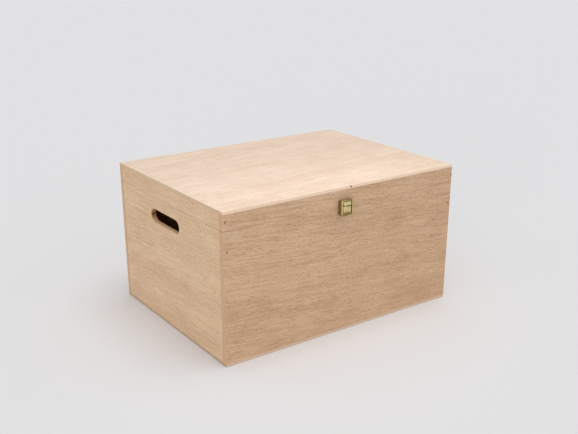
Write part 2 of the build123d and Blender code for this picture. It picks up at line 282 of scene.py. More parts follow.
class Finish(Nodes):
    """A material with a Principled shader."""

    def __init__(self, name):
        self.material = bpy.data.materials.new(name)
        self.material.use_nodes = True
        super().__init__(self.material.node_tree)
        self.shader = self.tree.nodes["Principled BSDF"]

    def place(self):
        """The point being shaded, in the box's own frame."""
        return self.node("ShaderNodeTexCoord", output="Object")

    def facing_way(self):
        """The direction in which the surface faces."""
        return self.node("ShaderNodeTexCoord", output="Normal")

    def split(self, vector):
        """The X, Y and Z of a vector."""
        first = self.node("ShaderNodeSeparateXYZ", sockets={0: vector})
        return [Value(self, output) for output in first.socket.node.outputs]

    def noise(self, first, second, third, detail=2.0, roughness=0.5):
        """Noise from 0 to 1 over three values that are already in its own scale."""
        vector = self.node("ShaderNodeCombineXYZ", sockets={0: first, 1: second, 2: third})
        sockets = {"Vector": vector, "Scale": 1.0, "Detail": detail, "Roughness": roughness}
        return self.node("ShaderNodeTexNoise", sockets=sockets)

    def even_noise(self, xyz, scale, detail=2.0, roughness=0.5):
        """Noise from 0 to 1 at the same scale every way."""
        return self.noise(*(value * scale for value in xyz), detail, roughness)

    def mix(self, share, first, second):
        """A colour between two colours."""
        return self.node("ShaderNodeMix", {"data_type": "RGBA"}, {0: share, 6: first, 7: second}, output=2)

    def tint(self, colour, mask, other):
        """A colour multiplied by another where a mask is 1."""
        settings = {"data_type": "RGBA", "blend_type": "MULTIPLY"}
        return self.node("ShaderNodeMix", settings, {0: mask, 6: colour, 7: other}, output=2)

    def shade(self, colour, factor):
        """A colour made darker or paler by a factor."""
        grey = self.node("ShaderNodeCombineColor", sockets={0: factor, 1: factor, 2: factor})
        return self.tint(colour, 1.0, grey)

    def distance(self, point, target):
        """How far the shaded point is from a fixed one."""
        return self.node(
            "ShaderNodeVectorMath", {"operation": "DISTANCE"}, {0: point, 1: target}, output="Value")

    def bump(self, height, strength, depth):
        """Relief of a height from 0 to 1 that stands for a depth in metres."""
        return self.node(
            "ShaderNodeBump", sockets={"Strength": strength, "Distance": depth, "Height": height})

    def surface(self, **sockets):
        """Set or link the shader's sockets, named in lower case with underlines."""
        by_name = {socket.name.lower().replace(" ", "_"): socket for socket in self.shader.inputs}
        for name, value in sockets.items():
            self.feed(by_name[name], value)
        return self.material


# Plywood

# Layers of the figure: repeats in a metre along and across the grain, and a shift that sets each layer apart
WANDER = (5, 11, 0)
THREADS = (6, 590, 5.7)
BREAKS = (40, 380, 17.3)
SPECKS = (260, 620, 23.9)
FIBRES = (180, 2600, 9.2)
PORES = (130, 1200, 14.4)
STREAKS = (14, 360, 11.3)
BANDS = (2.4, 34, 3.1)
BLOTCHES = (24, 34, 21.5)
SAW_BREAKS = (30, 2, 40)
CORE_SPECKLE = 800

# How much each layer counts in the figure, how far the grain wanders, and what a cut edge shows of it
FLECK_SHARE, SPECK_SHARE, FIBRE_SHARE = 1.15, 0.8, 0.8
STREAK_SHARE, BAND_SHARE, BLOTCH_SHARE = 0.55, 0.4, 0.45
FLECK_CONTRAST = 9
PORE_SHADE = 0.34
WANDER_REACH = 4 * MM
CUT_FIGURE = 0.2

# Shades of the plies where a sheet is cut
CROSSED_SHADE = 0.05
GLUE_SHADE = 0.14
SPECKLE_LOW, SPECKLE_RANGE = 0.86, 0.28

# Each board's contrast of the fine and of the broad figure, how far its grain strays across, and its seed
FIGURES = {
    "front": (0.97, 1.0, 0.09, 3.0),
    "back": (0.97, 1.0, 0.04, 31.0),
    "left": (0.77, 0.9, 0.06, 61.0),
    "right": (0.77, 0.9, -0.03, 91.0),
    "lid": (0.72, 1.8, -0.10, 121.0),
    "bottom": (0.9, 1.8, 0.03, 151.0),
}

# Marks on the wood: how dark they are, or below 0 how pale, and between which distances they fade
# The bottom panel's darker arrises are painted shade where it meets the floor.
WALL_ARRIS, LID_ARRIS, BOTTOM_ARRIS_SHADE = -0.16, 0.08, 0.30
# The saw lines are painted shade in the gap where the lid was sawn off.
LONG_SAW_SHADE, END_SAW_SHADE = 0.34, 0.27
SAW_LINE_FADE = (0.25 * MM, 0.9 * MM)
SAW_CORNER_FADE = (60 * MM, 15 * MM)
STAIN_FADE = (0.5 * MM, 1.3 * MM)
STAIN_SQUEEZE = 0.5
VOID_FADE = (0.9 * MM, 1.9 * MM)
HOLE_FADE = (0.2 * MM, 1.0 * MM)
HOLE_FLAT_TINT = 0.8
# The flat sides of a hand hole are made paler: painted light.
HOLE_FLAT_PAINTED_LIGHT = 0.6


class Plywood(Finish):
    """Solid plywood: figured veneer on both faces, and crossed plies with glue lines where it is cut."""

    def __init__(self, name, board, tones, plies, fine, broad, slope, seed):
        """A board is its outer and inner face along its thickness, and its thickness, grain and cross axes.

        Its tones are the pale and dark grain and the core, then the tints of a cut veneer and of the end
        grain. Fine and broad are the contrast of the short dashes and of the long bands of the grain, and
        slope is how far the grain strays across for each step along its axis.
        """
        super().__init__(name)
        outer, inner, thickness_axis, grain_axis, cross_axis = board
        light, dark, core, edge, end_grain = (opaque(tone) for tone in tones)
        self.point = self.place()
        self.xyz = self.split(self.point)
        self.facing = [abs(share) for share in self.split(self.facing_way())]
        self.seed = seed
        self.along = self.xyz[grain_axis]
        self.across = self.xyz[cross_axis]
        wander = self.layer(WANDER, self.across) - 0.5
        self.line = self.across + wander * WANDER_REACH + self.along * slope

        flat = self.facing[thickness_axis].ramp(0.3, 0.8)
        veneer = self.veneer(light, dark, fine, broad, CUT_FIGURE + flat * (1 - CUT_FIGURE))
        deep = (self.xyz[thickness_axis] - outer) * (1 / (inner - outer))
        inside = (deep > 1 / plies) * (deep < 1 - 1 / plies)
        plies_seen = self.mix(
            inside, self.tint(veneer, 1 - flat, edge), self.shade(core, self.core_shade(deep, plies)))
        across_grain = self.facing[grain_axis].ramp(0.5, 0.9)
        self.colour = self.tint(plies_seen, across_grain, end_grain)

    def layer(self, scales, across, detail=2.0):
        """Noise drawn out along the grain, over a value that runs across it."""
        along_scale, across_scale, shift = scales
        return self.noise(self.along * along_scale, across * across_scale, self.seed + shift, detail)

    def veneer(self, light, dark, fine, broad, shown):
        """The colour of the face veneers, with as much of the figure as is shown."""
        threads = self.layer(THREADS, self.line)
        breaks = self.layer(BREAKS, self.line)
        self.flecks = 0.5 + (threads - 0.5) * (breaks - 0.5) * FLECK_CONTRAST
        self.fibres = self.layer(FIBRES, self.line)
        self.pores = self.layer(PORES, self.line, detail=1).ramp(0.60, 0.74)
        specks = self.layer(SPECKS, self.line)
        streaks = self.layer(STREAKS, self.line, detail=3)
        bands = self.layer(BANDS, self.line)
        blotches = self.layer(BLOTCHES, self.across, detail=3)
        fine_figure = ((self.flecks - 0.5) * FLECK_SHARE + (specks - 0.5) * SPECK_SHARE
                       + (self.fibres - 0.5) * FIBRE_SHARE)
        broad_figure = ((streaks - 0.5) * STREAK_SHARE + (bands - 0.5) * BAND_SHARE
                        + (blotches - 0.5) * BLOTCH_SHARE)
        figure = fine * fine_figure + broad * broad_figure
        figured = self.mix((0.5 + figure * shown).ramp(0.0, 1.0), dark, light)
        return self.shade(figured, 1 - self.pores * shown * (PORE_SHADE * fine))

    def core_shade(self, deep, plies):
        """How dark the inner plies are: every other one is crossed, and glue lies between them."""
        crossed = math.floor(deep * plies) % 2
        glue = abs((deep * plies) % 1 - 0.5).ramp(0.43, 0.5)
        speckle = self.even_noise(self.xyz, CORE_SPECKLE)
        return (1 - crossed * CROSSED_SHADE - glue * GLUE_SHADE) * (SPECKLE_LOW + speckle * SPECKLE_RANGE)

    def darken(self, mask, strength):
        """Darken the wood where a mask is 1; a strength below 0 makes it paler."""
        self.colour = self.shade(self.colour, 1 - mask * strength)

    def wear_and_shade_arrises(self, strength):
        """Darker, or with a strength below 0 paler, arrises where one face turns into the next; the dark on
        the bottom panel is painted shade.
        """
        widest = self.facing[X].largest(self.facing[Y]).largest(self.facing[Z])
        self.darken(1 - widest.ramp(0.78, 0.99), strength)

    def stain_brads(self, heads, stain):
        """A brown stain round each brad, drawn out upwards and downwards."""
        squeezed = self.node(
            "ShaderNodeVectorMath", {"operation": "MULTIPLY"}, {0: self.point, 1: (1, 1, STAIN_SQUEEZE)})
        for x, y, z in heads:
            close = 1 - self.distance(squeezed, (x, y, z * STAIN_SQUEEZE)).ramp(*STAIN_FADE)
            self.colour = self.tint(self.colour, close, opaque(stain))

    def shade_saw_line(self, height, half_length, strength):
        """Painted shade: a faint dark line in the gap where the lid was sawn off, darker towards the
        corners.
        """
        line = 1 - abs(self.xyz[Z] - height).ramp(*SAW_LINE_FADE)
        breaks = self.layer(SAW_BREAKS, self.across).ramp(0.25, 0.65)
        corner = abs(self.along).ramp(*(half_length - inset for inset in SAW_CORNER_FADE))
        self.darken(line * (0.4 + breaks * 0.6) * (0.3 + corner * 0.7), strength)

    def tint_and_light_hole(self, middle, length, height, tint):
        """Darker, yellower wood at the sawn ends of a hand hole, and painted light on its flat sides, which
        are made paler.
        """
        run = (abs(self.xyz[Y] - middle.y) - (length - height) / 2).largest(0.0)
        rise = self.xyz[Z] - middle.z
        reach = (run * run + rise * rise).root()
        sawn = 1 - reach.ramp(*(height / 2 + fade for fade in HOLE_FADE))
        self.colour = self.tint(self.colour, sawn * (1 - self.facing[Z] * HOLE_FLAT_TINT), opaque(tint))
        # Painted light: the flat sides of the hole are made paler.
        self.darken(sawn * self.facing[Z], -HOLE_FLAT_PAINTED_LIGHT)

    def shade_void(self, place, tint):
        """Painted shade of a small gap in the core, seen at the edge of the sheet as a brown spot."""
        close = 1 - self.distance(self.point, place).ramp(*VOID_FADE)
        self.colour = self.tint(self.colour, close, opaque(tint))

    def done(self):
        """The finished material, with the relief and sheen of sanded wood."""
        relief = self.flecks * 0.5 + self.fibres * 0.3 - self.pores * 0.7
        return self.surface(
            base_color=self.colour, roughness=0.62 + self.flecks * 0.14 + self.pores * 0.08,
            specular_ior_level=0.12, normal=self.bump(relief, 0.30, 0.12 * MM))


def paint(material, *nodes):
    """Give CAD nodes their finish."""
    for node in nodes:
        for material_slot in frame["nodes"][node].material_slots:
            material_slot.material = material


def loose_boxes(piece):
    """The box of each separate solid in a piece."""
    mesh = bmesh.new()
    mesh.from_mesh(piece.data)
    bmesh.ops.remove_doubles(mesh, verts=mesh.verts, dist=HAIR)
    left = set(mesh.verts)
    boxes = []
    while left:
        island = {left.pop()}
        edge_of_island = list(island)
        while edge_of_island:
            vert = edge_of_island.pop()
            for edge in vert.link_edges:
                other = edge.other_vert(vert)
                if other in left:
                    left.remove(other)
                    island.add(other)
                    edge_of_island.append(other)
        places = [vert.co for vert in island]
        low = Vector(min(place[i] for place in places) for i in range(3))
        high = Vector(max(place[i] for place in places) for i in range(3))
        boxes.append((low, high))
    mesh.free()
    return sorted(boxes, key=lambda box: tuple(round(value, 6) for value in box[0]))


def corners(node):
    """The lowest and highest corner of a CAD node at rest, as vectors."""
    return tuple(Vector(corner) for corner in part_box(node))


def corner_brads():
    """Middles of the brads in the corners as X and Z, read off their solids."""
    places = set()
    for node in ("corner_brads", "lid_corner_brads"):
        for low, high in loose_boxes(frame["nodes"][node]):
            places.add((round((low.x + high.x) / 2, 5), round((low.z + high.z) / 2, 5)))
    return sorted(places)


class TOYBOX_OT_walls(bpy.types.Operator):
    """Finish the walls and the lid's rims in raw plywood, with the grain running on across the saw line"""

    bl_idname = "toy_box.walls"
    bl_label = "Finish Walls"

    def execute(self, context):
        wood = context.scene.toy_box_wood
        cut_tones = (wood.wall_core, WHITE, wood.wall_end_grain)
        long_tones = (wood.front_light, wood.front_dark, *cut_tones)
        end_tones = (wood.end_light, wood.end_dark, *cut_tones)
        saw_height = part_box("box_front")[1][Z]
        openings = {opening["name"]: opening["box_m"] for opening in frame["record"]["physics"]["openings"]}

        for side in ("front", "back"):
            low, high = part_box(f"box_{side}")
            outer, inner = (low[Y], high[Y]) if side == "front" else (high[Y], low[Y])
            board = Plywood(
                f"{side}_plywood", (outer, inner, Y, X, Z), long_tones, wood.wall_plies,
                *FIGURES[side])
            board.wear_and_shade_arrises(WALL_ARRIS)
            board.stain_brads([(x, outer, z) for x, z in corner_brads()], wood.brad_stain)
            # Painted shade along the saw line.
            board.shade_saw_line(saw_height, high[X], LONG_SAW_SHADE)
            paint(board.done(), f"box_{side}", f"lid_{side}_rim")

        for side in ("left", "right"):
            low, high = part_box(f"box_{side}_end")
            outer, inner = (low[X], high[X]) if side == "left" else (high[X], low[X])
            board = Plywood(
                f"{side}_plywood", (outer, inner, X, Y, Z), end_tones, wood.wall_plies,
                *FIGURES[side])
            hole_low, hole_high = (Vector(corner) for corner in openings[f"{side}_hand_hole"])
            board.shade_saw_line(saw_height, high[Y], END_SAW_SHADE)
            board.tint_and_light_hole((hole_low + hole_high) / 2, wood.hole_length, wood.hole_height, wood.sawn_hole)
            paint(board.done(), f"box_{side}_end", f"lid_{side}_rim")
        return {"FINISHED"}


class TOYBOX_OT_panels(bpy.types.Operator):
    """Finish the lid and bottom panels in paler plywood"""

    bl_idname = "toy_box.panels"
    bl_label = "Finish Panels"

    def execute(self, context):
        wood = context.scene.toy_box_wood
        # The panels' cut-veneer tint is painted warm bounce light.
        cut_tones = (wood.panel_edge_bounce_light, wood.panel_end_grain)
        lid_tones = (wood.panel_light, wood.panel_dark, wood.panel_core, *cut_tones)
        # The bottom panel's tones are painted shade: the lid panel's made darker.
        shaded_bottom_tones = (wood.bottom_light, wood.bottom_dark, wood.shaded_bottom_core, *cut_tones)

        low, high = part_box("lid_top")
        lid = Plywood(
            "lid_plywood", (high[Z], low[Z], Z, X, Y), lid_tones, wood.panel_plies, *FIGURES["lid"])
        lid.wear_and_shade_arrises(LID_ARRIS)
        # Painted shade of the void in the lid's front edge.
        lid.shade_void((wood.void_place, low[Y], high[Z] - wood.void_drop), wood.void_shade)
        paint(lid.done(), "lid_top")

        low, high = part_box("box_bottom")
        base = Plywood(
            "bottom_plywood", (low[Z], high[Z], Z, X, Y), shaded_bottom_tones, wood.panel_plies,
            *FIGURES["bottom"])
        # Painted shade: the bottom panel's arrises are darkened where it meets the floor.
        base.wear_and_shade_arrises(BOTTOM_ARRIS_SHADE)
        paint(base.done(), "box_bottom")
        return {"FINISHED"}


# Modelling by hand

# Angles above which an edge is eased and below which faces are shaded as one or made one
EASED_ANGLE = math.radians(32)
SMOOTH_ANGLE = math.radians(40)
FLAT_ANGLE = math.radians(0.3)

# Distances under which points are merged after a cut and after easing, and slivers are dropped
CUT_MERGE = 0.001 * MM
EASED_MERGE = 0.004 * MM
SLIVER = 0.002 * MM

# How far two shapes overlap where one is cut out of the other or united with it
CUT_OVERLAP = 0.1 * MM
PAD_OVERLAP = 0.05 * MM


def clear_selection():
    """Leave edit mode and deselect everything."""
    if bpy.context.object and bpy.context.object.mode != "OBJECT":
        bpy.ops.object.mode_set(mode="OBJECT")
    bpy.ops.object.select_all(action="DESELECT")


def only(piece):
    """Select one piece alone and make it the active one."""
    clear_selection()
    piece.select_set(True)
    bpy.context.view_layer.objects.active = piece


def settle(piece):
    """Put the piece's place into its mesh, with its object at the origin."""
    only(piece)
    bpy.ops.object.transform_apply(location=True, rotation=True, scale=True)


def block(name, low, high):
    """A cube stretched between two corners, to be shaped further."""
    clear_selection()
    low, high = Vector(low), Vector(high)
    bpy.ops.mesh.primitive_cube_add(size=1, location=(low + high) / 2)
    piece = bpy.context.object
    piece.name = name
    piece.scale = high - low
    settle(piece)
    return piece


def rod(name, centre, radius, length, axis, sides=32):
    """A cylinder along X or Y, to be shaped further."""
    turn = {X: (0, math.pi / 2, 0), Y: (math.pi / 2, 0, 0)}[axis]
    clear_selection()
    bpy.ops.mesh.primitive_cylinder_add(
        vertices=sides, radius=radius, depth=length, location=centre, rotation=turn)
    piece = bpy.context.object
    piece.name = name
    settle(piece)
    return piece


def pick(piece, kind, test):
    """Go into edit mode with only those faces or edges selected whose middle passes a test."""
    only(piece)
    bpy.ops.object.mode_set(mode="EDIT")
    bpy.ops.mesh.select_mode(type="FACE" if kind == "faces" else "EDGE")
    bpy.ops.mesh.select_all(action="DESELECT")
    mesh = bmesh.from_edit_mesh(piece.data)
    for item in getattr(mesh, kind):
        middle = sum((vert.co for vert in item.verts), Vector()) / len(item.verts)
        item.select_set(bool(test(item, middle)))
    bmesh.update_edit_mesh(piece.data)


def everything(item, middle):
    """A test that every face or edge passes."""
    return True


def leave():
    """Back to object mode."""
    bpy.ops.object.mode_set(mode="OBJECT")


def round_edges(piece, test, radius, segments):
    """Round the edges of a piece whose middle passes a test."""
    pick(piece, "edges", test)
    bpy.ops.mesh.bevel(offset=radius, segments=segments, affect="EDGES")
    leave()


def modify(piece, kind, **settings):
    """Add a modifier to a piece and apply it."""
    only(piece)
    modifier = piece.modifiers.new(kind.title(), kind)
    for key, value in settings.items():
        setattr(modifier, key, value)
    bpy.ops.object.modifier_apply(modifier=modifier.name)


def combine(piece, other, operation):
    """Unite a piece with another, cut the other out of it or keep what both share, and drop the other."""
    modify(piece, "BOOLEAN", object=other, operation=operation, solver="EXACT")
    bpy.data.objects.remove(other)
    pick(piece, "faces", everything)
    bpy.ops.mesh.remove_doubles(threshold=CUT_MERGE)
    bpy.ops.mesh.dissolve_limited(angle_limit=FLAT_ANGLE)
    leave()


def carve(piece, low, high):
    """Cut a square hollow out of a piece."""
    combine(piece, block("cutter", low, high), "DIFFERENCE")


def ease(piece, width, segments=2):
    """Round the sharp edges of a piece a little, merge what that brings together and shade it smooth."""
    modify(piece, "BEVEL", width=width, segments=segments, limit_method="ANGLE", angle_limit=EASED_ANGLE,
           use_clamp_overlap=True)
    pick(piece, "faces", everything)
    bpy.ops.mesh.remove_doubles(threshold=EASED_MERGE)
    bpy.ops.mesh.dissolve_degenerate(threshold=SLIVER)
    only(piece)
    bpy.ops.object.shade_smooth_by_angle(angle=SMOOTH_ANGLE)


def copy_to(master, name, place, turn=(0, 0, 0)):
    """A copy of a piece with a mesh of its own, turned and then moved from the origin to a place."""
    only(master)
    bpy.ops.object.duplicate(linked=False)
    piece = bpy.context.object
    piece.name = name
    piece.location = place
    piece.rotation_euler = turn
    settle(piece)
    return piece


def seat(piece, body, slot, material, *nodes):
    """Give a finished piece its finish, its body and the nodes that it stands for."""
    piece.data.materials.clear()
    piece.data.materials.append(material)
    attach(piece, body)
    if nodes:
        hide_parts(*nodes)


def drive(master, node, body, material, first_turn=0.0, next_turn=0.0):
    """Copy a nail or screw to each solid of a CAD node, each turned on from the last by next_turn."""
    for index, (low, high) in enumerate(loose_boxes(frame["nodes"][node])):
        piece = copy_to(
            master, f"{node}_{index + 1}", ((low.x + high.x) / 2, 0, (low.z + high.z) / 2),
            (0, next_turn * index + first_turn, 0))
        seat(piece, body, "brass", material, node)


# Brads and their filler

RUST_SCALE = 2500
GRIT_SCALE = 3000
PLUG_DROP = 0.02 * MM
PLUG_RIM = 0.25 * MM
PLUG_RISE = 0.015 * MM
PLUG_EASE = 0.08 * MM


def darkened_steel(wood):
    """The dull brown steel of the brads."""
    finish = Finish("darkened_steel")
    rust = finish.even_noise(finish.split(finish.place()), RUST_SCALE, detail=3)
    return finish.surface(
        base_color=finish.mix(rust, opaque(wood.brad_steel), opaque(wood.brad_rust)), metallic=0.1,
        roughness=0.6 + rust * 0.3, specular_ior_level=0.2)


def wood_filler(wood):
    """The gritty filler over the brads of the lid."""
    finish = Finish("wood_filler")
    grit = finish.even_noise(finish.split(finish.place()), GRIT_SCALE, detail=3)
    return finish.surface(
        base_color=finish.mix(grit, opaque(wood.filler), opaque(wood.panel_dark)),
        roughness=0.72 + grit * 0.1, normal=finish.bump(grit, 0.3, 0.05 * MM))


class TOYBOX_OT_brads(bpy.types.Operator):
    """Darken the brads and fill the holes over the brads of the lid"""

    bl_idname = "toy_box.brads"
    bl_label = "Finish Brads"

    def execute(self, context):
        wood = context.scene.toy_box_wood
        paint(darkened_steel(wood), "corner_brads", "lid_corner_brads", "lid_top_brads", "bottom_brads")

        filler = wood_filler(wood)
        lid_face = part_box("lid_top")[1][Z]
        heads = loose_boxes(frame["nodes"]["lid_top_brads"])
        low, high = heads[0]
        half_x, half_y = (high.x - low.x) / 2, (high.y - low.y) / 2
        plug = block("plug", (-half_x, -half_y, high.z), (half_x, half_y, lid_face - PLUG_DROP))
        pick(plug, "faces", lambda face, at: face.normal.z > 0.9)
        bpy.ops.mesh.inset(thickness=PLUG_RIM, depth=PLUG_RISE)
        leave()
        ease(plug, PLUG_EASE)
        for index, (low, high) in enumerate(heads):
            turned = abs(high.x - low.x - 2 * half_x) > 0.1 * MM
            piece = copy_to(
                plug, f"lid_filler_{index + 1}", ((low.x + high.x) / 2, (low.y + high.y) / 2, 0),
                (0, 0, math.pi / 2 if turned else 0))
            seat(piece, "lid", "panel_plywood", filler)
        bpy.data.objects.remove(plug)
        return {"FINISHED"}


# Brass

PATCH_SCALE = 210
BRUSH_ALONG, BRUSH_ACROSS = 350, 4200
PAINTED_SHADE_STRENGTH = 0.75

HASP_EASE = 0.22 * MM
PLATE_EASE = 0.10 * MM
NAIL_EASE = 0.03 * MM
SCREW_EASE = 0.16 * MM
HASP_PIN_EASE = 0.22 * MM
HINGE_PIN_EASE = 0.35 * MM


def aged_brass(name, bright, dark, roughness, painted_highlight=None, painted_shade=None):
    """Satin brass that is dulled in patches, with masks for a painted highlight, which brightens it, and for
    painted shade, which darkens it.
    """
    made = bpy.data.materials.get(name)
    if made:
        return made
    finish = Finish(name)
    x, y, z = finish.split(finish.place())
    patches = finish.even_noise((x, y, z), PATCH_SCALE, detail=4, roughness=0.6)
    brushing = finish.noise(x * BRUSH_ALONG, y * BRUSH_ACROSS, z * BRUSH_ACROSS, detail=2)
    dull = (patches + (brushing - 0.5) * 0.25).ramp(0.42, 0.80)
    if painted_highlight:
        # Painted highlight: where the mask is 1 the brass is made brighter.
        dull = (0.62 + dull * 0.38) * (1 - painted_highlight(finish, x, y, z) * 0.9)
    colour = finish.mix(dull, opaque(bright), opaque(dark))
    if painted_shade:
        # Painted shade: where the mask is 1 the brass is darkened by a tint.
        painted_shade_tint = opaque(bpy.context.scene.toy_box_brass.painted_shade)
        colour = finish.tint(colour, painted_shade(finish, x, y, z) * PAINTED_SHADE_STRENGTH, painted_shade_tint)
    return finish.surface(
        base_color=colour, metallic=1.0, roughness=roughness + dull * 0.14 + (brushing - 0.5) * 0.08,
        normal=finish.bump(brushing, 0.10, 0.03 * MM))


def hinge_brass():
    """The brass of the hinges' leaves and pins."""
    brass = bpy.context.scene.toy_box_brass
    return aged_brass("hinge_brass", brass.hinge_bright, brass.hinge_dark, roughness=0.28)


def screw_brass():
    """The brass of the hinge screws, with painted shade below their heads' faces, such as in their slots."""
    brass = bpy.context.scene.toy_box_brass
    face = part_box("hinge_box_screws")[1][Y]

    # Painted shade: everything below the head's face, the slot too, is darkened.
    def shade_below_face(finish, x, y, z):
        return 1 - y.ramp(face - 0.30 * MM, face - 0.06 * MM)

    return aged_brass("screw_brass", brass.hinge_bright, brass.hinge_dark, roughness=0.26, painted_shade=shade_below_face)


def pad_brass():
    """The brass of the latch plates, their nails and the hasp's pin, with painted shade close to the wood.
    """
    brass = bpy.context.scene.toy_box_brass
    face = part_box("latch_box_plate")[0][Y]

    # Painted shade: the brass darkens from the pads' fronts back towards the wood.
    def shaded_recess(finish, x, y, z):
        return y.ramp(face + 1.0 * MM, face + 3.0 * MM)

    return aged_brass("pad_brass", brass.pad_bright, brass.pad_dark, roughness=0.34, painted_shade=shaded_recess)


def hasp_brass():
    """The brass of the hasp, with a painted highlight on its upright bars and painted shade along its foot
    and underneath.
    """
    brass = bpy.context.scene.toy_box_brass
    low, high = corners("latch_hasp")
    middle = (low.x + high.x) / 2
    half_window = brass.window_width / 2

    # Painted highlight: the fronts of the upright bars are made brighter brass.
    def highlit_bars(finish, x, y, z):
        bars = abs(x - middle).ramp(half_window - 0.2 * MM, half_window + 0.4 * MM)
        return bars * (1 - y.ramp(low.y + 0.2 * MM, low.y + 0.8 * MM))

    # Painted shade: the brass is darkened on faces that point down and along the hasp's foot.
    def shaded_foot(finish, x, y, z):
        underside = (0 - finish.split(finish.facing_way())[Z]).ramp(0.3, 0.9)
        return underside.largest(1 - z.ramp(low.z + 0.3 * MM, low.z + 3.0 * MM))

    return aged_brass(
        "hasp_brass", brass.frame_bright, brass.frame_dark, roughness=0.26, painted_highlight=highlit_bars, painted_shade=shaded_foot)


class TOYBOX_OT_hasp(bpy.types.Operator):
    """Model the pressed frame of the snap hasp"""

    bl_idname = "toy_box.hasp"
    bl_label = "Model Hasp"

    def execute(self, context):
        brass = context.scene.toy_box_brass
        low, high = corners("latch_hasp")
        pin_low, pin_high = corners("latch_pin")
        middle, middle_y = (low.x + high.x) / 2, (low.y + high.y) / 2
        pivot_y, pivot_z = (pin_low.y + pin_high.y) / 2, (pin_low.z + pin_high.z) / 2
        wood_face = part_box("box_front")[0][Y]
        inside_face = low.y + brass.face_wall
        lip_back = low.y + brass.lip
        window_low, window_high = low.z + brass.bottom_bar, high.z - brass.top_bar
        half_window = brass.window_width / 2
        left, right = low.x + brass.side_wall, high.x - brass.side_wall

        hasp = block("hasp_frame", low, high)
        round_edges(
            hasp, lambda edge, at: at.y > high.y - HAIR and at.z > high.z - HAIR, high.z - pivot_z, 10)
        outline = block("outline", (low.x, low.y - MM, low.z), (high.x, high.y + MM, high.z))
        round_edges(outline, lambda edge, at: abs(at.y - middle_y) < HAIR, brass.corner_radius, 6)
        combine(hasp, outline, "INTERSECT")
        round_edges(hasp, lambda edge, at: at.y < low.y + HAIR, brass.rim_round, 4)
        carve(hasp, (left, inside_face, window_low), (right, wood_face, high.z - brass.top_wall))
        carve(hasp, (left, pivot_y, window_low), (right, wood_face, high.z + MM))
        carve(hasp, (left, lip_back, low.z - MM), (right, wood_face, window_low + MM))
        carve(hasp, (middle - half_window, low.y - MM, window_low),
              (middle + half_window, inside_face + CUT_OVERLAP, window_high))
        ease(hasp, HASP_EASE)
        seat(hasp, "latch", "brass", hasp_brass(), "latch_hasp")
        return {"FINISHED"}


def plate_with_pad(name, node, sheet_high, pad_low, pad_high):
    """A sheet on the wood with a raised, tapered pad."""
    brass = bpy.context.scene.toy_box_brass
    low, high = corners(node)
    middle = (low.x + high.x) / 2 + brass.pad_shift
    sheet_face = high.y - brass.sheet
    half = brass.pad_width / 2
    shrink = 2 * (sheet_face - low.y) * math.tan(brass.pad_taper)
    plate = block(name, (low.x, sheet_face, low.z), (high.x, high.y, sheet_high))
    pad = block("pad", (middle - half, low.y, pad_low), (middle + half, sheet_face + PAD_OVERLAP, pad_high))
    pick(pad, "faces", lambda face, at: face.normal.y < -0.9)
    bpy.ops.transform.resize(
        value=(1 - shrink / brass.pad_width, 1, 1 - shrink / (pad_high - pad_low)))
    leave()
    round_edges(pad, lambda edge, at: at.y < low.y + HAIR, brass.pad_round, 4)
    combine(plate, pad, "UNION")
    return plate


def domed_nail(low, high):
    """A round nail with a domed head on its plate, at X and Z 0, as long as the box of a nail."""
    brass = bpy.context.scene.toy_box_brass
    radius = (high.x - low.x) / 2
    plate_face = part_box("box_front")[0][Y] - brass.sheet
    head_height = plate_face - low.y
    dome, shank_inset = head_height * 0.8, radius * 0.4
    nail = rod("nail", (0, (low.y + plate_face) / 2, 0), radius, head_height, Y, sides=20)
    round_edges(nail, lambda edge, at: at.y < low.y + HAIR, dome, 4)
    pick(nail, "faces", lambda face, at: face.normal.y > 0.9)
    bpy.ops.mesh.inset(thickness=shank_inset)
    bpy.ops.mesh.extrude_region_move(TRANSFORM_OT_translate={"value": (0, high.y - plate_face, 0)})
    leave()
    ease(nail, NAIL_EASE)
    return nail


class TOYBOX_OT_plates(bpy.types.Operator):
    """Model the two plates under the hasp, with their nails and the hasp's pin"""

    bl_idname = "toy_box.plates"
    bl_label = "Model Latch Plates"

    def execute(self, context):
        brass = context.scene.toy_box_brass
        finish = pad_brass()
        box_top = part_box("latch_box_plate")[1][Z]
        lid_low, lid_high = corners("latch_lid_plate")
        pin_low, pin_high = corners("latch_pin")

        box_plate = plate_with_pad(
            "latch_plate_box", "latch_box_plate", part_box("box_front")[1][Z] - brass.gap,
            box_top - brass.box_pad_height, box_top)
        ease(box_plate, PLATE_EASE)
        seat(box_plate, "box", "brass", finish, "latch_box_plate")

        lid_plate = plate_with_pad(
            "latch_plate_lid", "latch_lid_plate", lid_high.z, lid_low.z, lid_low.z + brass.lid_pad_height)
        carve(lid_plate, (lid_low.x - MM, pin_high.y + brass.knuckle_wall, pin_low.z),
              (lid_high.x + MM, lid_high.y - brass.sheet, lid_high.z + MM))
        ease(lid_plate, PLATE_EASE)
        seat(lid_plate, "lid", "brass", finish, "latch_lid_plate")

        pin = rod(
            "hasp_pin", (pin_low + pin_high) / 2, (pin_high.z - pin_low.z) / 2, pin_high.x - pin_low.x, X)
        ease(pin, HASP_PIN_EASE, segments=3)
        seat(pin, "lid", "brass", finish, "latch_pin")

        nail = domed_nail(*loose_boxes(frame["nodes"]["latch_box_nails"])[0])
        drive(nail, "latch_box_nails", "box", finish)
        drive(nail, "latch_lid_nails", "lid", finish)
        bpy.data.objects.remove(nail)
        return {"FINISHED"}


